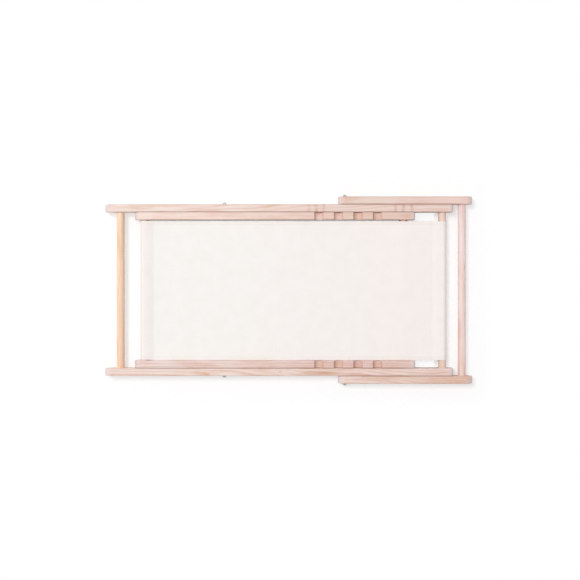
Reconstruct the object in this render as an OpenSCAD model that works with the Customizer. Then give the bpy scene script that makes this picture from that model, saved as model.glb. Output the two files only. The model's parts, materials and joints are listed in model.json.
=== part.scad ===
// Folding sling deck chair, folded flat on the floor.
// Three timber frames pivot on four bolts: the long back frame, the notched seat frame inside it
// and the short prop frame outside it. A canvas sling hangs between the front bar and the head bar.
// X runs from the foot end to the head end, Y across the chair, and Z up from the floor.

/* [Timber] */
// Thickness of every rail, across the chair
rail_t = 24; // [20:1:30]
// Depth of every rail, which is the height of the folded chair
rail_h = 44; // [38:1:60]
// Diameter of the round bars and stretchers
bar_d = 25; // [20:1:28]
// Rounding of the rails' long edges, which also goes round their ends
arris_r = 2; // [1:0.5:4]
// Depth of the socket that holds a bar's end
socket_depth = 14; // [10:1:16]
// Play all round a bar's end in its socket
socket_play = 0.1; // [0.05:0.05:0.3]

/* [Width] */
// Width over the prop rails
overall_w = 600; // [500:10:700]

/* [Seat frame] */
// From the main pivot to the front end of a seat rail
front_reach = 288; // [240:2:340]
// From the front end of a seat rail to the front bar's axis
front_inset = 32; // [26:1:40]
// From the main pivot to the first notch
first_notch = 304; // [270:2:340]
// From one notch to the next
notch_pitch = 62.5; // [50:0.5:75]
// Number of notches in each seat rail
notch_count = 4; // [2:1:5]
// Room in a notch beyond the prop bar's diameter
notch_play = 5; // [2:0.5:8]
// How far the notch's centre lies below the top of the rail
notch_drop = 1; // [0:0.5:5]
// From the last notch to the rear end of a seat rail
rear_tail = 121.5; // [100:0.5:150]
// From the rear end of a seat rail to the rear stretcher's axis
rear_inset = 37; // [26:1:45]
// Rounding of the rear end of a seat rail, seen from the side
rear_end_r = 9; // [4:1:16]

/* [Back frame] */
// From the main pivot to the prop pivot
pivot_spacing = 388; // [360:2:420]
// Open space between the front end of a seat rail and the foot stretcher
foot_gap = 33.5; // [20:0.5:60]
// From the foot end of a back rail to the foot stretcher's axis
foot_inset = 49.5; // [30:0.5:60]
// From the rear end of a seat rail to the head bar's axis
head_room = 88.5; // [60:0.5:120]
// From the head bar's axis to the head end of a back rail
head_inset = 34; // [26:1:45]
// Rounding of the head end of a back rail, seen from the side
head_end_r = 12; // [4:1:16]

/* [Prop frame] */
// Open space between the head end of a back rail and the prop bar
prop_gap = 17; // [8:0.5:30]
// From the prop bar's axis to the end of a prop rail
prop_overhang = 33; // [26:1:45]

/* [Sling] */
// Thickness of the canvas
canvas_t = 1.2; // [0.6:0.1:2]
// Play between the canvas and the bar in its pocket
pocket_play = 0.3; // [0.2:0.1:1]
// From the front bar's axis to the seam that closes its pocket
front_seam = 25; // [20:0.5:40]
// From the head bar's axis to the seam that closes its pocket
head_seam = 33; // [20:0.5:40]
// Turned-in canvas past the seam
seam_tail = 8; // [4:1:15]
// Open space between a selvedge of the sling and the seat rail
sling_margin = 3; // [2:0.5:20]
// Open strip over the main pivot, where the canvas bends
sling_bend = 24; // [22:1:60]

/* [Pivot bolts] */
// Thread diameter of the pivot bolts
bolt_d = 6; // [5:1:8]
// Play round a bolt in the rails
bolt_play = 0.08; // [0.05:0.01:0.1]
// Thickness of the spacer washer between two rails
spacer_t = 1.2; // [0.8:0.1:3]
// Thickness of the outer washer
washer_t = 1; // [0.8:0.1:2]
// Height of the hexagon of a cap nut
nut_hex_h = 3.8; // [3:0.1:6]
// Height of the dome of a cap nut
nut_dome_h = 2.8; // [2:0.1:4]

/* [Bar screws] */
// Shank diameter of the screws that hold the bars
screw_d = 4; // [3:0.5:5]
// Length of the screws that hold the bars
screw_len = 40; // [30:1:60]

/* [Hidden] */

$fn = 64;
overcut = 1;
bar_r = bar_d / 2;
bolt_r = bolt_d / 2;
screw_r = screw_d / 2;
axis_z = rail_h / 2;
round_end_r = rail_h / 2;

// Distances along the chair, counted from the main pivot
front_bar_at = front_reach - front_inset;
foot_bar_at = front_reach + foot_gap + bar_r;
foot_reach = foot_bar_at + foot_inset;
last_notch = first_notch + (notch_count - 1) * notch_pitch;
seat_reach = last_notch + rear_tail;
rear_bar_at = seat_reach - rear_inset;
head_bar_at = seat_reach + head_room;
back_reach = head_bar_at + head_inset;
prop_bar_at = back_reach + prop_gap + bar_r;
prop_end_at = prop_bar_at + prop_overhang;

// The origin lies halfway between the two far ends of the folded chair
main_x = foot_reach - (foot_reach + prop_end_at) / 2;
prop_x = main_x + pivot_spacing;

// Distances from the centre plane: the outer and inner face of each rail
rail_pitch = rail_t + spacer_t;
prop_out_y = overall_w / 2;
prop_in_y = prop_out_y - rail_t;
back_out_y = prop_out_y - rail_pitch;
back_in_y = back_out_y - rail_t;
seat_out_y = back_out_y - rail_pitch;
seat_in_y = seat_out_y - rail_t;

notch_r = (bar_d + notch_play) / 2;
canvas_w = 2 * (seat_in_y - sling_margin);
pocket_in_r = bar_r + pocket_play;
pocket_out_r = pocket_in_r + canvas_t;

// Countersunk heads: the proportions of the metric bolt and of the wood screw
bolt_head_r = bolt_d;
bolt_head_h = 0.55 * bolt_d;
head_play = 0.1;
screw_head_r = screw_d;
screw_head_h = 0.6 * screw_d;
washer_r = 1.5 * bolt_d;
nut_flat_r = 5 / 6 * bolt_d;
nut_corner_r = nut_flat_r / cos(30);
nut_dome_r = 0.92 * nut_flat_r;
thread_play = 0.05;
nut_grip = nut_hex_h + 0.35 * nut_dome_h;

pine = "#ead2c2";
dowel_pine = "#eec9a8";
canvas = "#f6f1ed";
zinc = "#b9bcc0";

// ---- Helpers ----

// Turns a shape that is drawn in X and Y, and extruded up, so that it stands in X and Z
module stand_up() {
    rotate([90, 0, 0]) children();
}

// Draws its children on the left side, and mirrored on the right side if that side is asked for
module on_side(side) {
    if (side == "left") children();
    else mirror([0, 1, 0]) children();
}

// Rectangle from (x0, y0) to (x1, y1) with round corners
module round_rect(x0, y0, x1, y1, r) {
    translate([x0 + r, y0]) square([x1 - x0 - 2 * r, y1 - y0]);
    translate([x0, y0 + r]) square([x1 - x0, y1 - y0 - 2 * r]);
    for (x = [x0 + r, x1 - r], y = [y0 + r, y1 - r]) translate([x, y]) circle(r);
}

// Half of a rail's section, from its middle at x = 0 to its rounded edge at x = r
module half_section(r, in_y) {
    intersection() {
        round_rect(-r, in_y, r, in_y + rail_t, arris_r);
        translate([0, in_y]) square([r, rail_t]);
    }
}

// The end of a rail beyond x = 0: both corners turn at radius r, and the arris follows them round
module rail_end(r, in_y) {
    for (top = [0, 1]) translate([0, 0, top ? rail_h - r : r]) mirror([0, 0, top])
        rotate([-90, 0, 0]) rotate_extrude(angle = 90) half_section(r, in_y);
    if (r < round_end_r) translate([0, 0, r]) linear_extrude(rail_h - 2 * r) half_section(r, in_y);
}

// A rail from x0 to x1 whose inner face is at in_y and whose two ends are rounded at radius r0 and r1
module rail_blank(x0, x1, in_y, r0, r1) {
    translate([x0 + r0, 0, 0]) {
        rotate([90, 0, 90]) linear_extrude(x1 - x0 - r0 - r1)
            round_rect(in_y, 0, in_y + rail_t, rail_h, arris_r);
        mirror([1, 0, 0]) rail_end(r0, in_y);
    }
    translate([x1 - r1, 0, 0]) rail_end(r1, in_y);
}

// A cylinder along +Y that starts at y
module across(x, y, len, r) {
    translate([x, y, axis_z]) rotate([-90, 0, 0]) cylinder(h = len, r = r);
}

// Blind socket for a bar's end, with the screw's hole behind it and its countersink in the outer face
module bar_socket(x, in_y) {
    across(x, in_y - overcut, socket_depth + overcut, bar_r + socket_play);
    across(x, in_y, rail_t + overcut, screw_r + thread_play);
    translate([x, in_y + rail_t, axis_z]) rotate([90, 0, 0])
        cylinder(h = screw_head_h, r1 = screw_head_r + head_play, r2 = screw_r + thread_play);
}

// Clear hole for a pivot bolt right through a rail
module bolt_hole(x, in_y) {
    across(x, in_y - overcut, rail_t + 2 * overcut, bolt_r + bolt_play);
}

// Countersink for a pivot bolt's head in the rail's inner face
module bolt_countersink(x, in_y) {
    translate([x, in_y, axis_z]) rotate([-90, 0, 0])
        cylinder(h = bolt_head_h, r1 = bolt_head_r + head_play, r2 = bolt_r + bolt_play);
}

// ---- Seat frame ----

// Inner rail with a half-round front end and the row of notches in its top edge
module seat_rail(side) {
    color(pine) on_side(side) difference() {
        rail_blank(main_x - front_reach, main_x + seat_reach, seat_in_y, round_end_r, rear_end_r);
        bar_socket(main_x - front_bar_at, seat_in_y);
        bar_socket(main_x + rear_bar_at, seat_in_y);
        bolt_hole(main_x, seat_in_y);
        bolt_countersink(main_x, seat_in_y);
        for (i = [0 : notch_count - 1])
            translate([main_x + first_notch + i * notch_pitch, seat_in_y - overcut, rail_h - notch_drop])
                rotate([-90, 0, 0]) cylinder(h = rail_t + 2 * overcut, r = notch_r);
    }
}

// ---- Back frame ----

// Long rail with a half-round foot, which carries both pivots, the foot stretcher and the head bar
module back_rail(side) {
    color(pine) on_side(side) difference() {
        rail_blank(main_x - foot_reach, main_x + back_reach, back_in_y, round_end_r, head_end_r);
        bar_socket(main_x - foot_bar_at, back_in_y);
        bar_socket(main_x + head_bar_at, back_in_y);
        bolt_hole(main_x, back_in_y);
        bolt_hole(prop_x, back_in_y);
        bolt_countersink(prop_x, back_in_y);
    }
}

// ---- Prop frame ----

// Short outer rail with a half-round end about its pivot and another past the prop bar
module prop_rail(side) {
    color(pine) on_side(side) difference() {
        rail_blank(prop_x - round_end_r, main_x + prop_end_at, prop_in_y, round_end_r, round_end_r);
        bar_socket(main_x + prop_bar_at, prop_in_y);
        bolt_hole(prop_x, prop_in_y);
    }
}

// ---- Bars and stretchers ----

// Round bar between two rails, seated in their sockets, with a pilot hole in each end
module bar(x, in_y) {
    half = in_y + socket_depth;
    pilot = screw_len - (rail_t - socket_depth);
    color(dowel_pine) difference() {
        across(x, -half, 2 * half, bar_r);
        for (side = ["left", "right"]) on_side(side)
            across(x, half - pilot, pilot + overcut, screw_r + thread_play);
    }
}

// The two countersunk screws that hold one bar
module bar_screws(x, out_y) {
    color(zinc) for (side = ["left", "right"]) on_side(side) {
        across(x, out_y - screw_len, screw_len, screw_r);
        translate([x, out_y, axis_z]) rotate([90, 0, 0])
            cylinder(h = screw_head_h, r1 = screw_head_r, r2 = screw_r);
    }
}

module front_bar() bar(main_x - front_bar_at, seat_in_y);
module rear_stretcher() bar(main_x + rear_bar_at, seat_in_y);
module foot_stretcher() bar(main_x - foot_bar_at, back_in_y);
module head_bar() bar(main_x + head_bar_at, back_in_y);
module prop_bar() bar(main_x + prop_bar_at, prop_in_y);

module seat_frame_screws() {
    bar_screws(main_x - front_bar_at, seat_out_y);
    bar_screws(main_x + rear_bar_at, seat_out_y);
}

module back_frame_screws() {
    bar_screws(main_x - foot_bar_at, back_out_y);
    bar_screws(main_x + head_bar_at, back_out_y);
}

module prop_frame_screws() bar_screws(main_x + prop_bar_at, prop_out_y);

// ---- Pivot hardware ----

// Countersunk bolt from a rail's inner face, through two rails and two washers, into its cap nut
module pivot_bolt(x, head_y, face_y, side) {
    color(zinc) on_side(side) {
        across(x, head_y, face_y + washer_t + nut_grip - head_y, bolt_r);
        translate([x, head_y, axis_z]) rotate([-90, 0, 0])
            cylinder(h = bolt_head_h, r1 = bolt_head_r, r2 = bolt_r);
    }
}

// A pair of flat washers, one on each side, whose inner faces are at y
module washer_pair(x, y, t) {
    color(zinc) for (side = ["left", "right"]) on_side(side) difference() {
        across(x, y, t, washer_r);
        across(x, y - overcut, t + 2 * overcut, bolt_r + bolt_play);
    }
}

// Domed hexagon nut that sits on the outer washer
module cap_nut(x, y, side) {
    dome_sphere_r = (nut_dome_r * nut_dome_r + nut_dome_h * nut_dome_h) / (2 * nut_dome_h);
    color(zinc) on_side(side) translate([x, y, axis_z]) rotate([-90, 0, 0]) difference() {
        union() {
            intersection() {
                cylinder(h = nut_hex_h, r = nut_corner_r, $fn = 6);
                cylinder(h = nut_hex_h, r1 = nut_flat_r + nut_hex_h * tan(60), r2 = nut_flat_r);
            }
            intersection() {
                translate([0, 0, nut_hex_h + nut_dome_h - dome_sphere_r]) sphere(dome_sphere_r);
                cylinder(h = nut_hex_h + nut_dome_h + overcut, r = nut_dome_r);
            }
        }
        translate([0, 0, -overcut]) cylinder(h = nut_grip + overcut + thread_play, r = bolt_r + thread_play);
    }
}

module main_bolt(side) pivot_bolt(main_x, seat_in_y, back_out_y, side);
module prop_bolt(side) pivot_bolt(prop_x, back_in_y, prop_out_y, side);
module main_spacer_washers() washer_pair(main_x, seat_out_y, spacer_t);
module prop_spacer_washers() washer_pair(prop_x, back_out_y, spacer_t);
module main_outer_washers() washer_pair(main_x, back_out_y, washer_t);
module prop_outer_washers() washer_pair(prop_x, prop_out_y, washer_t);
module main_cap_nut(side) cap_nut(main_x, back_out_y + washer_t, side);
module prop_cap_nut(side) cap_nut(prop_x, prop_out_y + washer_t, side);

// ---- Sling ----

// Points of an arc about the origin
function arc(r, from, to, steps = 24) =
    [for (i = [0 : steps]) let (a = from + (to - from) * i / steps) [r * cos(a), r * sin(a)]];

// Section of a canvas panel that runs from its pocket round a bar at the origin to x = reach.
// The canvas goes over the bar, round its far side, and back up to the seam under the panel at x = seam.
module pocket_section(seam, reach) {
    seam_angle = atan2(pocket_in_r, seam);
    leave = 360 + 2 * seam_angle - 90;
    lap_z = pocket_in_r - canvas_t;
    leave_x = pocket_out_r * cos(leave);
    leave_z = pocket_out_r * sin(leave);
    lap_x = leave_x + (lap_z - leave_z) * -sin(leave) / cos(leave);
    difference() {
        polygon(concat(
            arc(pocket_out_r, 90, leave),
            [[lap_x, lap_z], [seam + seam_tail, lap_z], [seam + seam_tail, pocket_in_r],
             [reach, pocket_in_r], [reach, pocket_out_r]]
        ));
        polygon(concat(arc(pocket_in_r, 90, leave), [[seam, pocket_in_r]]));
    }
}

// Front part of the sling: the front bar's pocket and the panel up to the main pivot
module sling_seat() {
    color(canvas) translate([main_x - front_bar_at, canvas_w / 2, axis_z]) stand_up()
        linear_extrude(canvas_w) pocket_section(front_seam, front_bar_at - sling_bend / 2);
}

// Rear part of the sling: the panel from the main pivot up to the head bar's pocket
module sling_back() {
    color(canvas) translate([main_x + head_bar_at, canvas_w / 2, axis_z]) stand_up()
        linear_extrude(canvas_w) mirror([1, 0]) pocket_section(head_seam, head_bar_at - sling_bend / 2);
}

// ---- Nodes ----

seat_rail("left");  // seat_rail_left
seat_rail("right");  // seat_rail_right
front_bar();
rear_stretcher();
seat_frame_screws();
back_rail("left");  // back_rail_left
back_rail("right");  // back_rail_right
foot_stretcher();
head_bar();
back_frame_screws();
prop_rail("left");  // prop_rail_left
prop_rail("right");  // prop_rail_right
prop_bar();
prop_frame_screws();
main_bolt("left");  // main_bolt_left
main_bolt("right");  // main_bolt_right
prop_bolt("left");  // prop_bolt_left
prop_bolt("right");  // prop_bolt_right
main_spacer_washers();
prop_spacer_washers();
main_outer_washers();
prop_outer_washers();
main_cap_nut("left");  // main_cap_nut_left
main_cap_nut("right");  // main_cap_nut_right
prop_cap_nut("left");  // prop_cap_nut_left
prop_cap_nut("right");  // prop_cap_nut_right
sling_seat();
sling_back();
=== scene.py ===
"""A folding sling deck chair, folded flat, with the finish of its timber, its fastenings and its sewn sling.

Lengths are in metres. X runs from the foot end to the head end, Y to the chair's left side, and Z up from the
floor.
"""
import json
from bisect import bisect_right
from functools import reduce
from math import acos, atan2, copysign, cos, pi, radians, sin, tau

import bmesh
import bpy
from mathutils import Matrix, Vector, noise


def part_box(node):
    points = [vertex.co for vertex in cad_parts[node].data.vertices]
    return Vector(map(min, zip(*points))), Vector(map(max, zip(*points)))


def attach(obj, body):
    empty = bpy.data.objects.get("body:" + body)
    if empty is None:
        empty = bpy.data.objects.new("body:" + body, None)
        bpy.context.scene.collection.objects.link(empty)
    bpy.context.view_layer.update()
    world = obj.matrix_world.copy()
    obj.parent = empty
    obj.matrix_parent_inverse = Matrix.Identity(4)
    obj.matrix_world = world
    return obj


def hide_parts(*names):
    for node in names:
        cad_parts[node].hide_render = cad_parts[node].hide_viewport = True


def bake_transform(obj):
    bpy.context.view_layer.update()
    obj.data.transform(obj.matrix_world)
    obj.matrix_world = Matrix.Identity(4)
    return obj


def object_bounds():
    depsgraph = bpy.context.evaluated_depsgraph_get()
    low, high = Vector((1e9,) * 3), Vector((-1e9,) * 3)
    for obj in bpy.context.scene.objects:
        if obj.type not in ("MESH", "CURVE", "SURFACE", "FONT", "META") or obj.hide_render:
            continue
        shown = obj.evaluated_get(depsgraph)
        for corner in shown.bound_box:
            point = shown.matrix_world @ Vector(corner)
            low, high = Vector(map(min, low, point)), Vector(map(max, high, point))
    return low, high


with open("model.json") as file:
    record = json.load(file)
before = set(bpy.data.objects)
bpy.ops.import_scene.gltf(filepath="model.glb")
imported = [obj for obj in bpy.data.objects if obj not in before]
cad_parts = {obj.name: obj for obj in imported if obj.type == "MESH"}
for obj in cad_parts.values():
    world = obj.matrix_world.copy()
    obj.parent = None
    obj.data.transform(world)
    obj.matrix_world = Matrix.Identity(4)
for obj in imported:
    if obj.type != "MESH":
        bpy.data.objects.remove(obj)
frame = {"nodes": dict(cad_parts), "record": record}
cad_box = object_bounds()
chair = frame["nodes"]
scene = bpy.context.scene
scene.view_settings.view_transform = "Standard"

# ---- Camera ----
# It hangs 3 m over the chair, a few millimetres off its middle, and looks straight down with the head end to
# the right.
lens_height = 3.02
lens_off = (0.0043, 0.0002)  # from the chair's middle
seen_width = 1.856  # how much of the plane of the rails' upper edges the lens takes in, from left to right
camera = bpy.data.objects.new("camera", bpy.data.cameras.new("camera"))
camera.location = (*lens_off, lens_height)
camera.data.lens = camera.data.sensor_width * (lens_height - cad_box[1].z) / seen_width
camera.data.clip_end = 30
scene.collection.objects.link(camera)
scene.camera = camera


# ---- Floor ----
# A matt white floor that the chair lies on. It takes the chair's faint shadow, and fades to plain white a
# hand's breadth away from the chair.
class Field:
    """A socket whose value changes over a surface. An expression on fields adds its Math nodes."""

    def __init__(self, tree, socket):
        self.tree, self.socket = tree, socket

    def node(self, kind, inputs, output=0, **settings):
        """Adds a node of this kind: its settings first, then the values or links of its sockets."""
        made = self.tree.nodes.new(kind)
        for name, value in settings.items():
            setattr(made, name, value)
        for name, value in inputs.items():
            if isinstance(value, Field):
                self.tree.links.new(value.socket, made.inputs[name])
            else:
                made.inputs[name].default_value = value
        return Field(self.tree, made.outputs[output])

    def maths(self, operation, *values):
        return self.node("ShaderNodeMath", dict(enumerate(values)), operation=operation)

    def __add__(self, other):
        return self.maths("ADD", self, other)

    def __sub__(self, other):
        return self.maths("SUBTRACT", self, other)

    def __rsub__(self, other):
        return self.maths("SUBTRACT", other, self)

    def __mul__(self, other):
        return self.maths("MULTIPLY", self, other)

    def __truediv__(self, other):
        return self.maths("DIVIDE", self, other)

    def __abs__(self):
        return self.maths("ABSOLUTE", self)

    __radd__, __rmul__ = __add__, __mul__

    def most(self, other):
        return self.maths("MAXIMUM", self, other)

    def least(self, other):
        return self.maths("MINIMUM", self, other)

    def step(self, low, high, at_low=0.0, at_high=1.0):
        """Goes smoothly from at_low to at_high as the field goes from low to high."""
        ends = {"Value": self, "From Min": low, "From Max": high, "To Min": at_low, "To Max": at_high}
        return self.node("ShaderNodeMapRange", ends, interpolation_type="SMOOTHSTEP")

    def mix(self, a, b, blend="MIX"):
        """Colour a where the field is 0, and colour b where it is 1."""
        return self.node("ShaderNodeMix", {0: self, 6: a, 7: b}, output=2, data_type="RGBA", blend_type=blend)

    def tint(self, colour, dye):
        """The colour with this much of the dye washed over it."""
        return self.mix(colour, dye, "MULTIPLY")

    def vector(self, operation, other, third=(0, 0, 0), output=0):
        return self.node("ShaderNodeVectorMath", {0: self, 1: other, 2: third}, output, operation=operation)

    def part(self, axis):
        return self.node("ShaderNodeSeparateXYZ", {0: self}, output=axis)

    def length(self):
        return self.vector("LENGTH", (0, 0, 0), output=1)

    def noise(self, x, y, z, detail=2.0, rough=0.5, output="Fac"):
        """Noise from 0 to 1 over the vector, with x, y and z features to the metre."""
        stretched = self.vector("MULTIPLY", (x, y, z))
        inputs = {"Vector": stretched, "Scale": 1.0, "Detail": detail, "Roughness": rough}
        return self.node("ShaderNodeTexNoise", inputs, output=output)


def new_finish(name, source="Object"):
    """A material, its shader and the coordinates that its pattern follows."""
    finish = bpy.data.materials.new(name)
    finish.use_nodes = True
    shader = finish.node_tree.nodes["Principled BSDF"]
    coordinates = finish.node_tree.nodes.new("ShaderNodeTexCoord")
    return finish, shader, Field(finish.node_tree, coordinates.outputs[source])


def plug(shader, **values):
    """Links fields to a shader's sockets, or sets them where the value is the same all over."""
    for name, value in values.items():
        socket = shader.inputs[name.replace("_", " ")]
        if isinstance(value, Field):
            value.tree.links.new(value.socket, socket)
        else:
            socket.default_value = value


def shade(red, green, blue):
    """A colour given by its 8-bit values, as the linear colour that a shader takes."""
    return tuple(((c / 255 + 0.055) / 1.055) ** 2.4 for c in (red, green, blue)) + (1.0,)


bm = bmesh.new()
bmesh.ops.create_grid(bm, x_segments=1, y_segments=1, size=20)
mesh = bpy.data.meshes.new("floor")
bm.to_mesh(mesh)
bm.free()
floor = bpy.data.objects.new("floor", mesh)
scene.collection.objects.link(floor)

finish, shader, place = new_finish("white_floor")
plug(shader, Base_Color=(1, 1, 1, 1), Roughness=0.9, Specular_IOR_Level=0.2)
fade_start, fade_end = 0.01, 0.1  # beyond the chair's box
near_white, hole_painted_white = 0.55, 0.86  # how far the floor has faded near the chair, and how far painted light lifts it in its narrow openings
reach = (cad_box[1] - cad_box[0]) / 2
beyond = place.vector("ABSOLUTE", (0, 0, 0)).vector("SUBTRACT", (reach.x, reach.y, 0))
fade = beyond.vector("MAXIMUM", (0, 0, 0)).length().step(fade_start, fade_end, near_white, 1.0)
# Painted light: the floor in the narrow openings along the sling and beside its head end is lifted towards
# white, where the rails' shade would fall, with soft borders
hole_start, hole_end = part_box("sling_seat")[0].x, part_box("head_bar")[0].x
hole_side, hole_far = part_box("sling_back")[1].y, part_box("back_rail_left")[0].y
end_border, border_lap, side_border, far_border = 0.012, 0.001, 0.002, 0.006
along, across = place.part(0), abs(place.part(1))
painted_lift = along.step(hole_start, hole_start + end_border) * along.step(hole_end - end_border, hole_end, 1, 0)
painted_lift = painted_lift * across.step(hole_side - border_lap, hole_side + side_border)
painted_lift = painted_lift * across.step(hole_far - border_lap, hole_far + far_border, 1, 0)
fade = fade.most(painted_lift * hole_painted_white)
seen = place.node("ShaderNodeLightPath", {}, output="Is Camera Ray")
clear = place.node("ShaderNodeBsdfTransparent", {})
mixed = place.node("ShaderNodeMixShader", {0: seen * fade, 1: Field(place.tree, shader.outputs[0]), 2: clear})
place.tree.links.new(mixed.socket, place.tree.nodes["Material Output"].inputs["Surface"])
floor.data.materials.append(finish)

# ---- Lamp and sky ----
# One big soft lamp, high over the left of the foot end, and a pale sky. The sky lights the chair at about
# half strength, but is plain white where it is seen, mirrored in metal or looked at through something clear.
lamp_direction = Vector((-0.42, 0.32, 1)).normalized()
lamp_distance = 12
sky_light = 0.55
lamp = bpy.data.objects.new("soft_lamp", bpy.data.lights.new("soft_lamp", "AREA"))
lamp.data.shape = "DISK"
lamp.data.size = 4.2
lamp.data.energy = 735
lamp.location = lamp_direction * lamp_distance
lamp.rotation_euler = lamp_direction.to_track_quat("Z", "Y").to_euler()
scene.collection.objects.link(lamp)

sky = bpy.data.worlds.new("pale_sky")
sky.use_nodes = True
scene.world = sky
path = sky.node_tree.nodes.new("ShaderNodeLightPath")
camera_ray, glossy_ray, through_ray = (
    Field(sky.node_tree, path.outputs[f"Is {kind} Ray"]) for kind in ("Camera", "Glossy", "Transmission"))
straight = camera_ray.most(glossy_ray).most(through_ray)
plug(sky.node_tree.nodes["Background"], Color=(1, 1, 1, 1), Strength=straight.step(0, 1, sky_light, 1.0))

# ---- Rails ----
# Six battens of planed and sanded pine, joined by the bars and the pivot bolts. Each is from another board,
# with the grain of solid wood: its rings run along the faces, wander, and show as arcs on the ends. The
# notches are sawn, and a little darker inside with painted shade. Painted shade darkens the outer long edges,
# and each board's colour drifts from end to end partly with painted light falloff.
late_dye = shade(236, 212, 194)  # the late wood at the edge of a year's ring
rose_dye = shade(246, 231, 227)  # the rosy clouds, and then the tan ones
tan_dye = shade(243, 232, 214)
fibre_dye = shade(228, 202, 186)
resin_dye = shade(190, 150, 122)
knot_dye = shade(206, 158, 128)
curl_dye = shade(230, 213, 203)  # the bars of curly figure
curl_pitch = 0.026
# The next two dyes are painted shade: inside the sawn notches, and along the rails' outer long edges
notch_shade_dye = shade(243, 224, 210)
edge_shade_dye = shade(232, 224, 222)
end_grain = shade(226, 211, 213)
end_fade = 0.024  # how far the grey of a rail's end reaches
edge_shade_reach, arris = 0.005, 0.0012  # how far the painted edge shade reaches over a face, and the edge's own rounding
openings = frame["record"]["physics"]["openings"]
notches = sorted({round(sum(corner[0] for corner in opening["box_m"]) / 2, 4) for opening in openings
                  if opening["name"].startswith("notch")})
notch_r, notch_z = 0.015, cad_box[1].z - 0.001  # of a notch's round


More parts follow.
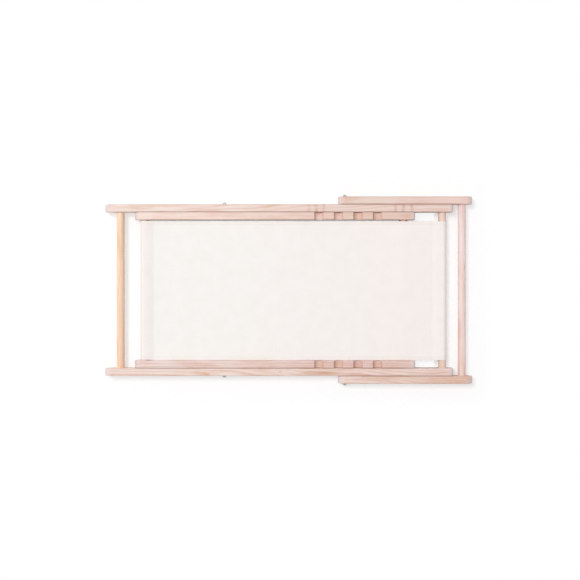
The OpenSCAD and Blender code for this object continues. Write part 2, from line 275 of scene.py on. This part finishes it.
def pine(board, fibre, heart, lean, ring=0.0027, foot=(238, 214, 200), head=(232, 204, 190),
         late=0.8, rose=0.5, tan=0.4, knots=(), blushes=(), curls=(), sawn=(), edge_shade=0.8):
    """Gives this node raw pine whose fibres run along X or Y. The tree's heart passes the board's middle at
    this distance (across, up) and leans by these degrees, ring is the width of a year's growth, and foot and
    head are the colours at the fibres' two ends; the drift between them is partly the board's own tone and
    partly painted light falloff away from the lamp. late, rose and tan say how strong the late wood and the
    rosy and tan clouds are, and the last argument how strong the painted shade on the outer long edges is.
    A knot is (along, sideways, size), a blush is (along, sideways, size, amount, dye), curly figure is
    (along, size), and sawn lists the notches' places, whose insides get a little painted shade. Along is a
    place on the chair's X or Y, and sideways is measured from the board's middle."""
    finish, shader, place = new_finish("pine_" + board)
    low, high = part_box(board)
    middle, half = (low + high) / 2, (high - low) / 2
    along = 0 if fibre == "X" else 1
    across, up = heart
    offset = Vector((0, across, up)) if fibre == "X" else Vector((across, 0, up))
    grain = place.node("ShaderNodeMapping", {
        "Vector": place, "Location": middle + offset,
        "Rotation": (0, radians(lean[0]), along * pi / 2 + radians(lean[1]))}, vector_type="TEXTURE")

    # Each year's ring: pale early wood that darkens towards its edge, then starts again
    stray = 0.014  # how far the rings wander
    wander = grain.noise(2.6, 9, 9, detail=1.5, output="Color").vector("SUBTRACT", (0.5, 0.5, 0.5))
    bent = wander.vector("MULTIPLY_ADD", (0, stray, stray), grain)
    radius = bent.vector("MULTIPLY", (0, 1, 1)).length()
    uneven = radius.node("ShaderNodeTexNoise", {"W": radius * 130, "Scale": 1.0, "Detail": 1.0},
                         noise_dimensions="1D")
    years = radius / ring + uneven * 1.6 + grain.noise(14, 120, 120) * 0.5

    # The rings part round each knot
    cores = []
    for spot, sideways, size in knots:
        off = place.vector("SUBTRACT", (spot, middle.y + sideways, 0)).vector("MULTIPLY", (0.5, 1, 0))
        distance = off.length()
        years = years + distance.step(0, size * 3.2, 2.6, 0)
        cores.append(distance.step(size * 0.2, size, 1, 0))

    # The late wood darkens from a point that differs from year to year, and ends sharply
    phase = years.maths("FRACT", years)
    luck = years.node("ShaderNodeTexWhiteNoise", {"W": years.maths("FLOOR", years)}, noise_dimensions="1D")
    late_wood = phase.step(luck * 0.35 + 0.2, 0.9) * phase.step(0.93, 1.0, 1, 0) * (luck * 0.5 + 0.6)
    late_wood = late_wood * grain.noise(2.2, 16, 16).step(0.25, 0.75, 0.55, 1)

    # Fibres, and the short dark dashes of resin canals
    fibres = grain.noise(9, 620, 620, detail=3, rough=0.6)
    dashes = grain.noise(45, 1900, 1900, detail=1).step(0.66, 0.8)

    # The colour drifts from end to end, partly as the board's own tone and partly as painted light falloff
    # away from the lamp, with rosy and tan clouds as long as a finger, and then come the blushes and the
    # curly figure
    colour = place.part(along).step(low[along], high[along]).mix(shade(*foot), shade(*head))
    cloud = grain.noise(7, 34, 34, detail=3, rough=0.6, output="Color")
    colour = (cloud.part(0).step(0.47, 0.66) * rose).tint(colour, rose_dye)
    colour = (cloud.part(1).step(0.47, 0.66) * tan).tint(colour, tan_dye)
    for spot, sideways, size, amount, dye in blushes:
        off = bent.vector("SUBTRACT", (spot - middle[along], 0, 0)).part(0)
        off = off.node("ShaderNodeCombineXYZ", {0: off, 1: (place.part(1) - (middle.y + sideways)) * 6})
        colour = off.length().step(size * 0.5, size, amount, 0).tint(colour, dye)
    for spot, size in curls:
        turn = (place.part(along) - spot) * (tau / curl_pitch) + (cloud.part(2) - 0.5) * 4
        near = place.vector("SUBTRACT", (spot, 0, high.z)).vector("MULTIPLY", (1, 0, 2.5)).length()
        ripple = turn.maths("COSINE", turn).step(-0.4, 1) * grain.noise(30, 90, 90).step(0.3, 0.7, 0.3, 1)
        colour = (ripple * near.step(size * 0.4, size, 0.9, 0)).tint(colour, curl_dye)
    colour = (late_wood * late).tint(colour, late_dye)
    colour = (fibres.step(0.3, 0.75) * 0.3).tint(colour, fibre_dye)
    colour = (dashes * 0.3).tint(colour, resin_dye)
    if knots:
        colour = (reduce(Field.most, cores) * 0.4).tint(colour, knot_dye)

    # Faces cut across the fibres are dull. They are grey too, and so is the last bit of a rail, but the sawn
    # notches stay warm, with a little painted shade inside. Painted shade darkens the rails' outer long
    # edges.
    facing = Field(place.tree, place.socket.node.outputs["Normal"]).part(along)
    cut = abs(facing).step(0.75, 0.98)
    if sawn:
        rounds = (place.vector("SUBTRACT", (x, 0, notch_z)).vector("MULTIPLY", (1, 0, 1)) for x in sawn)
        insides = (off.length().step(notch_r + 0.0001, notch_r + 0.0004, 1, 0) for off in rounds)
        notch = reduce(Field.most, insides)
        cut = cut * (1 - notch)
        # Painted shade inside the notches
        colour = (notch * 0.12).tint(colour, notch_shade_dye)
    if fibre == "X":
        greyed = abs(place.part(0) - middle.x).step(half.x - end_fade, half.x - 0.001, 0, 0.65)
        colour = greyed.most(cut * 0.8).mix(colour, end_grain)
    # Painted shade along the outer long edges, broken up by noise
    if edge_shade:
        outer = (place.part(1) - middle.y) * (1 if middle.y > 0 else -1)
        upper = abs(place.part(2) - middle.z)
        shaded_edge = outer.step(half.y - edge_shade_reach, half.y - arris).least(upper.step(half.z - edge_shade_reach, half.z - arris))
        colour = (shaded_edge * grain.noise(20, 90, 90).step(0.25, 0.6, 0.55, 1) * edge_shade).tint(colour, edge_shade_dye)

    height = fibres * 0.5 + late_wood * 0.35 - dashes * 0.3
    normal = height.node("ShaderNodeBump", {"Height": height, "Strength": 0.35, "Distance": 0.00025})
    plug(shader, Base_Color=colour, Roughness=late_wood.step(0, 1, 0.62, 0.52) + cut * 0.12,
         Normal=normal, IOR=1.45, Specular_IOR_Level=0.3)
    chair[board].material_slots[0].material = finish


pine("back_rail_left", "X", (0.016, -0.045), (0.5, 0.9), foot=(247, 233, 227), head=(238, 217, 210),
     curls=((0.0885, 0.04), (0.369, 0.05)))
pine("back_rail_right", "X", (-0.014, -0.05), (0.7, -0.5), ring=0.0022, late=1.0, tan=0.7, edge_shade=0.5,
     knots=((-0.026, 0.002, 0.004),),
     blushes=((0.085, -0.003, 0.06, 0.5, curl_dye), (0.09, 0, 0.1, 0.35, tan_dye)),
     foot=(244, 227, 221), head=(239, 219, 213))
pine("seat_rail_left", "X", (-0.06, 0.01), (0.3, 0.6), sawn=notches, edge_shade=0.15,
     blushes=((0.415, 0, 0.075, 0.6, tan_dye),),
     foot=(252, 235, 230), head=(236, 211, 202))
pine("seat_rail_right", "X", (0.02, -0.04), (-0.5, 0.7), sawn=notches, edge_shade=0.15, rose=0.8,
     blushes=((0.12, 0, 0.085, 0.45, tan_dye), (0.28, 0, 0.025, 0.55, tan_dye)),
     foot=(241, 224, 221), head=(232, 206, 201))
pine("prop_rail_left", "X", (0.06, -0.015), (0.2, -0.6), rose=0.7,
     foot=(239, 222, 214), head=(242, 219, 214))
pine("prop_rail_right", "X", (-0.02, -0.045), (0.6, 0.4), rose=0.8,
     foot=(241, 223, 216), head=(229, 197, 182))

# ---- Bars ----
# Five turned pine dowels. Their ends sit in round sockets in the rails, each held by a screw. The foot
# stretcher is of more orange wood, and the prop bar of pinker wood.
pine("foot_stretcher", "Y", (0.02, -0.03), (0.3, 1.3), rose=0.3, edge_shade=0,
     foot=(251, 219, 195), head=(253, 227, 203))
pine("front_bar", "Y", (-0.03, -0.02), (0.3, 1.1), edge_shade=0, foot=(242, 222, 210), head=(245, 223, 211))
pine("rear_stretcher", "Y", (0.03, -0.03), (0.3, -0.8), edge_shade=0)
pine("head_bar", "Y", (0.025, -0.025), (0.3, -1.2), edge_shade=0, foot=(242, 222, 210), head=(245, 223, 211))
pine("prop_bar", "Y", (-0.02, -0.03), (0.5, 0.9), rose=0.8, edge_shade=0,
     foot=(245, 223, 219), head=(250, 234, 234))

# ---- Sling ----
# One length of natural cotton canvas, with a hem folded under along each side. Each end goes round its bar
# and is sewn back under the panel. The seams sink a little, and the rear stretcher carries the panel between
# them.
cloth = 0.0007  # thickness
ply = 0.00075  # from the middle of one layer to the middle of the next
hem = 0.012
tail = 0.008  # turned in past the seam of a pocket
tuck_r = 0.0012  # of the turn at that seam
front_seam, head_seam = 0.025, 0.033  # from a bar's axis
front_sink, head_sink = 0.0032, 0.0024  # of a seam under the top of its bar
aside, front_aside = -0.0024, -0.0008  # how far the cloth lies off the chair's middle, and at the front bar
seat_dip, head_dip = 0.0016, 0.0003  # of the hems, on the two sides of the rear stretcher
middle_dip = 0.0008  # how much lower the middle of the seat hangs
hem_wave = 0.004  # the share of the half width by which a hem strays inwards
long_ripple, short_ripple = 0.0004, 0.0003
seam_hold, bar_hold = 0.05, 0.2  # how far the seams and the rear stretcher hold the panel level
side_lap, rest_gap = 0.0003, 0.0002  # past the solids' sides, and over the rear stretcher
shift_lap = 0.01  # past the front bar and past the seam, where the shift aside starts and ends
panel_steps = 112

front_at, rear_at, head_at = (
    sum(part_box(name), Vector()) / 2 for name in ("front_bar", "rear_stretcher", "head_bar"))
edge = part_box("sling_seat")[1].y + side_lap  # half the finished width
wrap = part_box("sling_seat")[1].z - cloth / 2 - front_at.z  # from a bar's axis to the cloth's middle
seam_a, seam_b = front_at.x + front_seam, head_at.x - head_seam
ramp_start, ramp_end = edge - hem - 0.012, edge - hem - 0.002  # where a tail goes down under the hems
rest_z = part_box("rear_stretcher")[1].z + cloth / 2 + rest_gap


def smooth(value, low, high):
    t = min(1.0, max(0.0, (value - low) / (high - low)))
    return t * t * (3 - 2 * t)


def outward(angle):
    return Vector((cos(angle), sin(angle)))


def pocket(seam, sink, drop):
    """The canvas's way round a bar at the origin, seen from the side, as (middle of the cloth, outward
    angle). It goes from the end of the tail, which lies drop under the panel, to the seam in the panel."""
    lift = wrap - sink - drop
    tuck = Vector((seam, lift - tuck_r))
    leave = atan2(tuck.y, tuck.x) - acos((wrap + tuck_r) / tuck.length)
    top = pi / 2 - tau
    way = [(Vector((seam + tail * (1 - i / 3), lift)), -pi / 2) for i in range(3)]
    way += [(tuck - tuck_r * outward(angle), angle)
            for angle in (-pi / 2 + (leave + pi / 2) * i / 4 for i in range(5))]
    turned, touch = way[-1][0], wrap * outward(leave)
    way += [(turned.lerp(touch, i / 5), leave) for i in range(1, 5)]
    way += [(wrap * outward(angle), angle) for angle in (leave + (top - leave) * i / 32 for i in range(33))]
    return way + [(Vector((seam * t, wrap - sink * t * t)), top - atan2(2 * sink * t, seam))
                  for t in (i / 8 for i in range(1, 8))]


def level(x):
    """The panel's height at its hems, from the front seam over the rear stretcher to the head seam."""
    if x < rear_at.x:
        start, end, low, high, dip = seam_a, rear_at.x, front_at.z + wrap - front_sink, rest_z, seat_dip
    else:
        start, end, low, high, dip = rear_at.x, seam_b, rest_z, head_at.z + wrap - head_sink, head_dip
    t = (x - start) / (end - start)
    return low + (high - low) * t - 4 * t * (1 - t) * dip


def side_view(drop):
    """The whole canvas from one tail to the other, as (x, z, outward angle) at each station."""
    near = [(front_at.x + p.x, front_at.z + p.y, a) for p, a in pocket(front_seam, front_sink, drop)]
    far = [(head_at.x - p.x, head_at.z + p.y, -3 * pi - a)
           for p, a in reversed(pocket(head_seam, head_sink, drop))]
    between = (seam_a + (seam_b - seam_a) * i / panel_steps for i in range(panel_steps + 1))
    return near + [(x, level(x), -1.5 * pi) for x in between] + far


def thick_at(y):
    """How far a pocket's tail lies under the panel: one ply, but three where the hems meet."""
    return ply * (1 + 2 * smooth(abs(y), ramp_start, ramp_end))


def slack(x, y):
    """How far the panel has sunk from its level, in the long soft ripples of a cloth that has been sat on."""
    held = smooth(x, seam_a, seam_a + seam_hold) * smooth(seam_b - x, 0, seam_hold)
    ripple = noise.noise(Vector((x * 3.5, y * 24, 2))) * long_ripple
    ripple += noise.noise(Vector((x * 12, y * 8, 7))) * short_ripple
    if x > rear_at.x:
        return -ripple * held
    free = smooth(rear_at.x - x, 0, bar_hold)
    return (middle_dip * cos(y / edge * pi / 2) * free - ripple * (0.4 + 0.6 * free)) * held


def canvas_point(station, y, depth=0.0):
    """The cloth's middle at a station of its side view, this far across and this deep under the outer ply."""
    x, z, angle = station
    out = outward(angle)
    x, z = x - depth * out.x, z - depth * out.y
    if seam_a < x < seam_b:
        z -= slack(x, y)
    wave = 1 - hem_wave * abs(noise.noise(Vector((x * 7, copysign(1, y), 4))))
    off = front_aside + (aside - front_aside) * smooth(x, front_at.x + shift_lap, seam_a + shift_lap)
    return Vector((x, y * wave + off, z))


# Lanes across the cut cloth: a hem from its raw edge to its fold and back, the panel, and the other hem
fold_y = edge - ply / 2
side = [(fold_y - hem * (1 - i / 4), ply) for i in range(4)]
side += [(fold_y + ply / 2 * cos(t), ply / 2 * (1 - sin(t))) for t in (pi * (i / 4 - 0.5) for i in range(5))]
side += [(fold_y - hem * i / 4, 0) for i in range(1, 4)]
panel = [((fold_y - hem) * (1 - i / 20), 0) for i in range(41)]
lanes = [(-y, depth) for y, depth in side] + [(-y, depth) for y, depth in panel] + side[::-1]
views = [side_view(thick_at(y)) for y, depth in lanes]


def measured(points):
    """The distance along a chain of points, to each of them."""
    total = [0.0]
    for a, b in zip(points, points[1:]):
        total.append(total[-1] + (Vector(b) - Vector(a)).length)
    return total


run = measured([station[:2] for station in side_view(ply)])
girth = measured(lanes)
cut_length, cut_width = run[-1], girth[-1]
front_pocket = run[len(pocket(front_seam, front_sink, ply))]  # from its tail's end to the seam in the panel

bm = bmesh.new()
bmesh.ops.create_grid(bm, x_segments=len(run) - 1, y_segments=len(lanes) - 1, size=1)
cut = bm.loops.layers.uv.new("cut")
marks = {}
for vert in bm.verts:
    i = round((vert.co.x + 1) / 2 * (len(run) - 1))
    j = round((vert.co.y + 1) / 2 * (len(lanes) - 1))
    vert.co = canvas_point(views[j][i], *lanes[j])
    marks[vert] = (run[i], girth[j] - cut_width / 2)
for face in bm.faces:
    face.smooth = True
    for loop in face.loops:
        loop[cut].uv = marks[loop.vert]
mesh = bpy.data.meshes.new("sling")
bm.to_mesh(mesh)
bm.free()
sling = bpy.data.objects.new("sling", mesh)
scene.collection.objects.link(sling)
solid = sling.modifiers.new("thickness", "SOLIDIFY")
solid.thickness = cloth
solid.offset = 0

thread_pitch = 0.0008
# The cloth's own tone at its two ends, with painted light falloff towards the head end
foot_tone_and_light, head_tone_and_shade = shade(254, 252, 249), shade(255, 248, 245)
mottle_dye, warp_dye, weft_dye = shade(250, 249, 248), shade(242, 236, 228), shade(240, 234, 226)
weave_shade_dye = shade(214, 204, 192)  # painted shade between the threads
two_ply_shade_dye = shade(240, 234, 228)  # painted shade where the cloth lies two plies thick and less light comes through
bar_light_tint = shade(254, 250.5, 250.5)  # painted pink light from the pine bar, through the cloth round the front bar
glow = 0.04  # the share of the light that comes through the cloth
finish, shader, place = new_finish("canvas", source="UV")
along, across = place.part(0), place.part(1)
weft_wave = along.maths("SINE", along * (pi / thread_pitch))
warp_wave = across.maths("SINE", across * (pi / thread_pitch))
warp_up = weft_wave * warp_wave * 0.5 + 0.5
weave = (abs(warp_wave) * warp_up).most(abs(weft_wave) * (1 - warp_up))
warp = place.noise(14, 900, 0, detail=2)
weft = place.noise(900, 14, 0, detail=2)
mottle = place.noise(24, 24, 0, detail=3)
from_hem = cut_width / 2 - abs(across)
from_tail = along.least(cut_length - along)
doubled = from_hem.step(hem * 2 + ply, hem * 2 + ply + 0.0006, 1, 0).most(
    from_tail.step(tail * 2, tail * 2 + 0.001, 1, 0))
# Painted light falloff from the foot end to the head end, over the cloth's own tone
colour = along.step(0, cut_length).mix(foot_tone_and_light, head_tone_and_shade)
colour = (mottle.step(0.3, 0.7) * 0.4).tint(colour, mottle_dye)
colour = (warp.step(0.55, 0.8) * 0.3).tint(colour, warp_dye)
colour = (weft.step(0.55, 0.8) * 0.3).tint(colour, weft_dye)
colour = ((1 - weave) * 0.08).tint(colour, weave_shade_dye)
colour = (doubled * 0.12).tint(colour, two_ply_shade_dye)
colour = along.step(front_pocket, front_pocket + 0.012, 1, 0).tint(colour, bar_light_tint)
height = weave * 0.6 + warp * 0.3 + weft * 0.3
normal = height.node("ShaderNodeBump", {"Height": height, "Strength": 0.6, "Distance": 0.0002})
plug(shader, Base_Color=colour, Roughness=mottle.step(0.3, 0.7, 0.82, 0.9), Normal=normal,
     Sheen_Weight=0.4, Sheen_Roughness=0.5, Specular_IOR_Level=0.3)
lit_through = place.node("ShaderNodeBsdfTranslucent", {"Color": shade(244, 236, 226)})
mixed = place.node("ShaderNodeMixShader", {0: glow, 1: Field(place.tree, shader.outputs[0]), 2: lit_through})
place.tree.links.new(mixed.socket, place.tree.nodes["Material Output"].inputs["Surface"])
sling.data.materials.append(finish)
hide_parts("sling_seat", "sling_back")

# ---- Stitching ----
# Lockstitch in undyed cotton: one row along each hem, and two rows close together across each pocket. It is
# pulled into the cloth, and shows on the upper side and on the underside.
stitch, gap = 0.0026, 0.0007
thread_r = 0.00028
seam_rows = 0.001, 0.006  # on the panel's side of each seam
row_end = edge - 0.001
hem_row = edge - hem * 0.8
hem_view = side_view(thick_at(hem_row))


def station_at(view, lengths, distance):
    """The station this far along a side view."""
    i = min(bisect_right(lengths, distance), len(lengths) - 1)
    t = (distance - lengths[i - 1]) / (lengths[i] - lengths[i - 1])
    return tuple(a + (b - a) * t for a, b in zip(view[i - 1], view[i]))


bm = bmesh.new()


def sew(station, y, depth, heading):
    """One stitch, this deep under the outer ply, whose length points along heading."""
    spot = canvas_point(station, y, depth)
    up = outward(station[2])
    up = Vector((up.x, 0, up.y))
    turn = Matrix((heading, up.cross(heading), up)).transposed().to_4x4()
    size = Matrix.Diagonal((stitch / 2, thread_r, thread_r * 0.8, 1))
    bmesh.ops.create_icosphere(bm, subdivisions=1, radius=1, matrix=Matrix.Translation(spot) @ turn @ size)


hem_run = measured([station[:2] for station in hem_view])
for k in range(int(hem_run[-1] / (stitch + gap))):
    station = station_at(hem_view, hem_run, (k + 0.5) * (stitch + gap))
    heading = Vector((sin(station[2]), 0, -cos(station[2])))
    for y in (-hem_row, hem_row):
        for depth in (-cloth / 2, ply + cloth / 2):
            sew(station, y, depth, heading)
for seam, way in ((seam_a, 1), (seam_b, -1)):
    for row in seam_rows:
        x = seam + way * row
        for k in range(int(2 * row_end / (stitch + gap))):
            y = (k + 0.5) * (stitch + gap) - row_end
            panel_station = (x, level(x), pi / 2)
            sew(panel_station, y, -cloth / 2, Vector((0, 1, 0)))
            sew(panel_station, y, thick_at(y) + cloth / 2, Vector((0, 1, 0)))
for face in bm.faces:
    face.smooth = True
mesh = bpy.data.meshes.new("stitching")
bm.to_mesh(mesh)
bm.free()
stitching = bpy.data.objects.new("stitching", mesh)
scene.collection.objects.link(stitching)

finish, shader, place = new_finish("cotton_thread")
twist = place.noise(1400, 1400, 1400, detail=1)
plug(shader, Base_Color=twist.step(0.3, 0.7).mix(shade(226, 216, 204), shade(240, 233, 224)), Roughness=0.7)
stitching.data.materials.append(finish)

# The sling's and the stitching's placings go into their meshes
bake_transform(sling)
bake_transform(stitching)

# ---- Pivot bolts ----
# Four M6 countersunk bolts of bright zinc-plated steel, with a hexagon socket in the head. Each head lies in
# the inner face of the first rail that the bolt goes through.
zinc, shader, place = new_finish("bright_zinc")
cloud = place.noise(700, 700, 700, detail=3)
grit = place.noise(3500, 3500, 3500, detail=1)
normal = grit.node("ShaderNodeBump", {"Height": grit, "Strength": 0.2, "Distance": 0.00003})
plug(shader, Base_Color=cloud.step(0.3, 0.7).mix(shade(150, 152, 157), shade(172, 174, 178)), Metallic=1.0,
     Roughness=cloud.step(0.25, 0.75, 0.3, 0.46), Normal=normal)


def fastener(name, node, places, profile, recess, recess_depth, taper):
    """Countersunk fasteners that replace a CAD node. Each place is its head's middle and the way that the
    head faces along Y, +1 or -1. The profile goes from the head's rim to the point, as (radius, depth). The
    recess is the outline of the tool's hole, and narrows by the taper on the way down."""
    bm = bmesh.new()
    ring = [bm.verts.new((radius, 0, -depth)) for radius, depth in profile]
    chain = [bm.edges.new(pair) for pair in zip(ring, ring[1:])]
    bmesh.ops.spin(bm, geom=ring + chain, axis=(0, 0, 1), cent=(0, 0, 0), angle=tau, steps=24, use_merge=True)
    bmesh.ops.remove_doubles(bm, verts=bm.verts, dist=1e-6)
    rim = [e for e in bm.edges if e.is_boundary]
    corners = [bm.verts.new((x, y, 0)) for x, y in recess]
    outline = [bm.edges.new(pair) for pair in zip(corners, corners[1:] + corners[:1])]
    bmesh.ops.triangle_fill(bm, use_beauty=True, edges=rim + outline)
    well = bm.faces.new(corners)
    well.normal_update()
    bmesh.ops.inset_individual(bm, faces=[well], thickness=taper, depth=-recess_depth)
    bmesh.ops.recalc_face_normals(bm, faces=bm.faces)
    template = bpy.data.meshes.new("template")
    bm.to_mesh(template)
    bm.clear()
    for i, (spot, way) in enumerate(places):
        known = set(bm.verts)
        bm.from_mesh(template)
        fresh = [v for v in bm.verts if v not in known]
        tightened = 0.6 + i * 1.1  # each head has stopped at another angle
        bmesh.ops.rotate(bm, verts=fresh, cent=(0, 0, 0), matrix=Matrix.Rotation(tightened, 3, "Z"))
        bmesh.ops.rotate(bm, verts=fresh, cent=(0, 0, 0), matrix=Matrix.Rotation(-way * pi / 2, 3, "X"))
        bmesh.ops.translate(bm, verts=fresh, vec=spot)
    for edge_line in bm.edges:
        edge_line.smooth = len(edge_line.link_faces) < 2 or edge_line.calc_face_angle() < radians(30)
    for face in bm.faces:
        face.smooth = True
    mesh = bpy.data.meshes.new(name)
    bm.to_mesh(mesh)
    bm.free()
    bpy.data.meshes.remove(template)
    piece = bpy.data.objects.new(name, mesh)
    scene.collection.objects.link(piece)
    piece.data.materials.append(zinc)
    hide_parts(node)
    return piece


bolt_r, bolt_head_r, bolt_head_h = 0.003, 0.006, 0.0033
bolt_rim, end_bevel = 0.0003, 0.0008
socket_key, socket_depth, socket_taper = 0.004, 0.002, 0.00015
corner_r = socket_key / 2 / cos(pi / 6)
socket = [(corner_r * cos(tau * i / 6), corner_r * sin(tau * i / 6)) for i in range(6)]
for pivot, body in (("main", "seat_frame"), ("prop", "back_frame")):
    for hand, way in (("left", -1), ("right", 1)):
        node = f"{pivot}_bolt_{hand}"
        low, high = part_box(node)
        head = Vector(((low.x + high.x) / 2, low.y if way < 0 else high.y, (low.z + high.z) / 2))
        length = high.y - low.y
        profile = [(bolt_head_r, 0), (bolt_head_r, bolt_rim), (bolt_r, bolt_head_h),
                   (bolt_r, length - end_bevel), (bolt_r - end_bevel, length), (0, length)]
        bolt = fastener(node + "_shown", node, [(head, way)], profile, socket, socket_depth, socket_taper)
        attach(bolt, body)

# ---- Screws ----
# Ten countersunk wood screws with a cross recess, plated as the bolts are. Each goes through a rail's outer
# face into the end of a bar.
screw_r, screw_head_r, screw_head_h, screw_length = 0.002, 0.004, 0.0024, 0.04
screw_rim, point_start = 0.0002, screw_length * 0.8
screw_profile = [(screw_head_r, 0), (screw_head_r, screw_rim), (screw_r, screw_head_h),
                 (screw_r, point_start), (0, screw_length)]
arm, half_arm, cross_depth, cross_taper = 0.0023, 0.0006, 0.0012, 0.0003
cross = [(x * cos(t) - y * sin(t), x * sin(t) + y * cos(t)) for t in (pi / 2 * i for i in range(4))
         for x, y in ((arm, -half_arm), (arm, half_arm), (half_arm, half_arm))]
for body, bars in (("seat_frame", ("front_bar", "rear_stretcher")),
                   ("back_frame", ("foot_stretcher", "head_bar")),
                   ("prop_frame", ("prop_bar",))):
    node = body + "_screws"
    face_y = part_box(node)[1].y
    places = [(Vector(((low.x + high.x) / 2, way * face_y, (low.z + high.z) / 2)), way)
              for low, high in map(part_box, bars) for way in (-1, 1)]
    screws = fastener(node + "_shown", node, places, screw_profile, cross, cross_depth, cross_taper)
    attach(screws, body)

# ---- Washers and cap nuts ----
# Spacer washers between the rails, and outer washers under the domed cap nuts on the bolts' ends. They are
# plated as the bolts are.
for name, node in chair.items():
    if "washers" in name or "nut" in name:
        node.material_slots[0].material = zinc
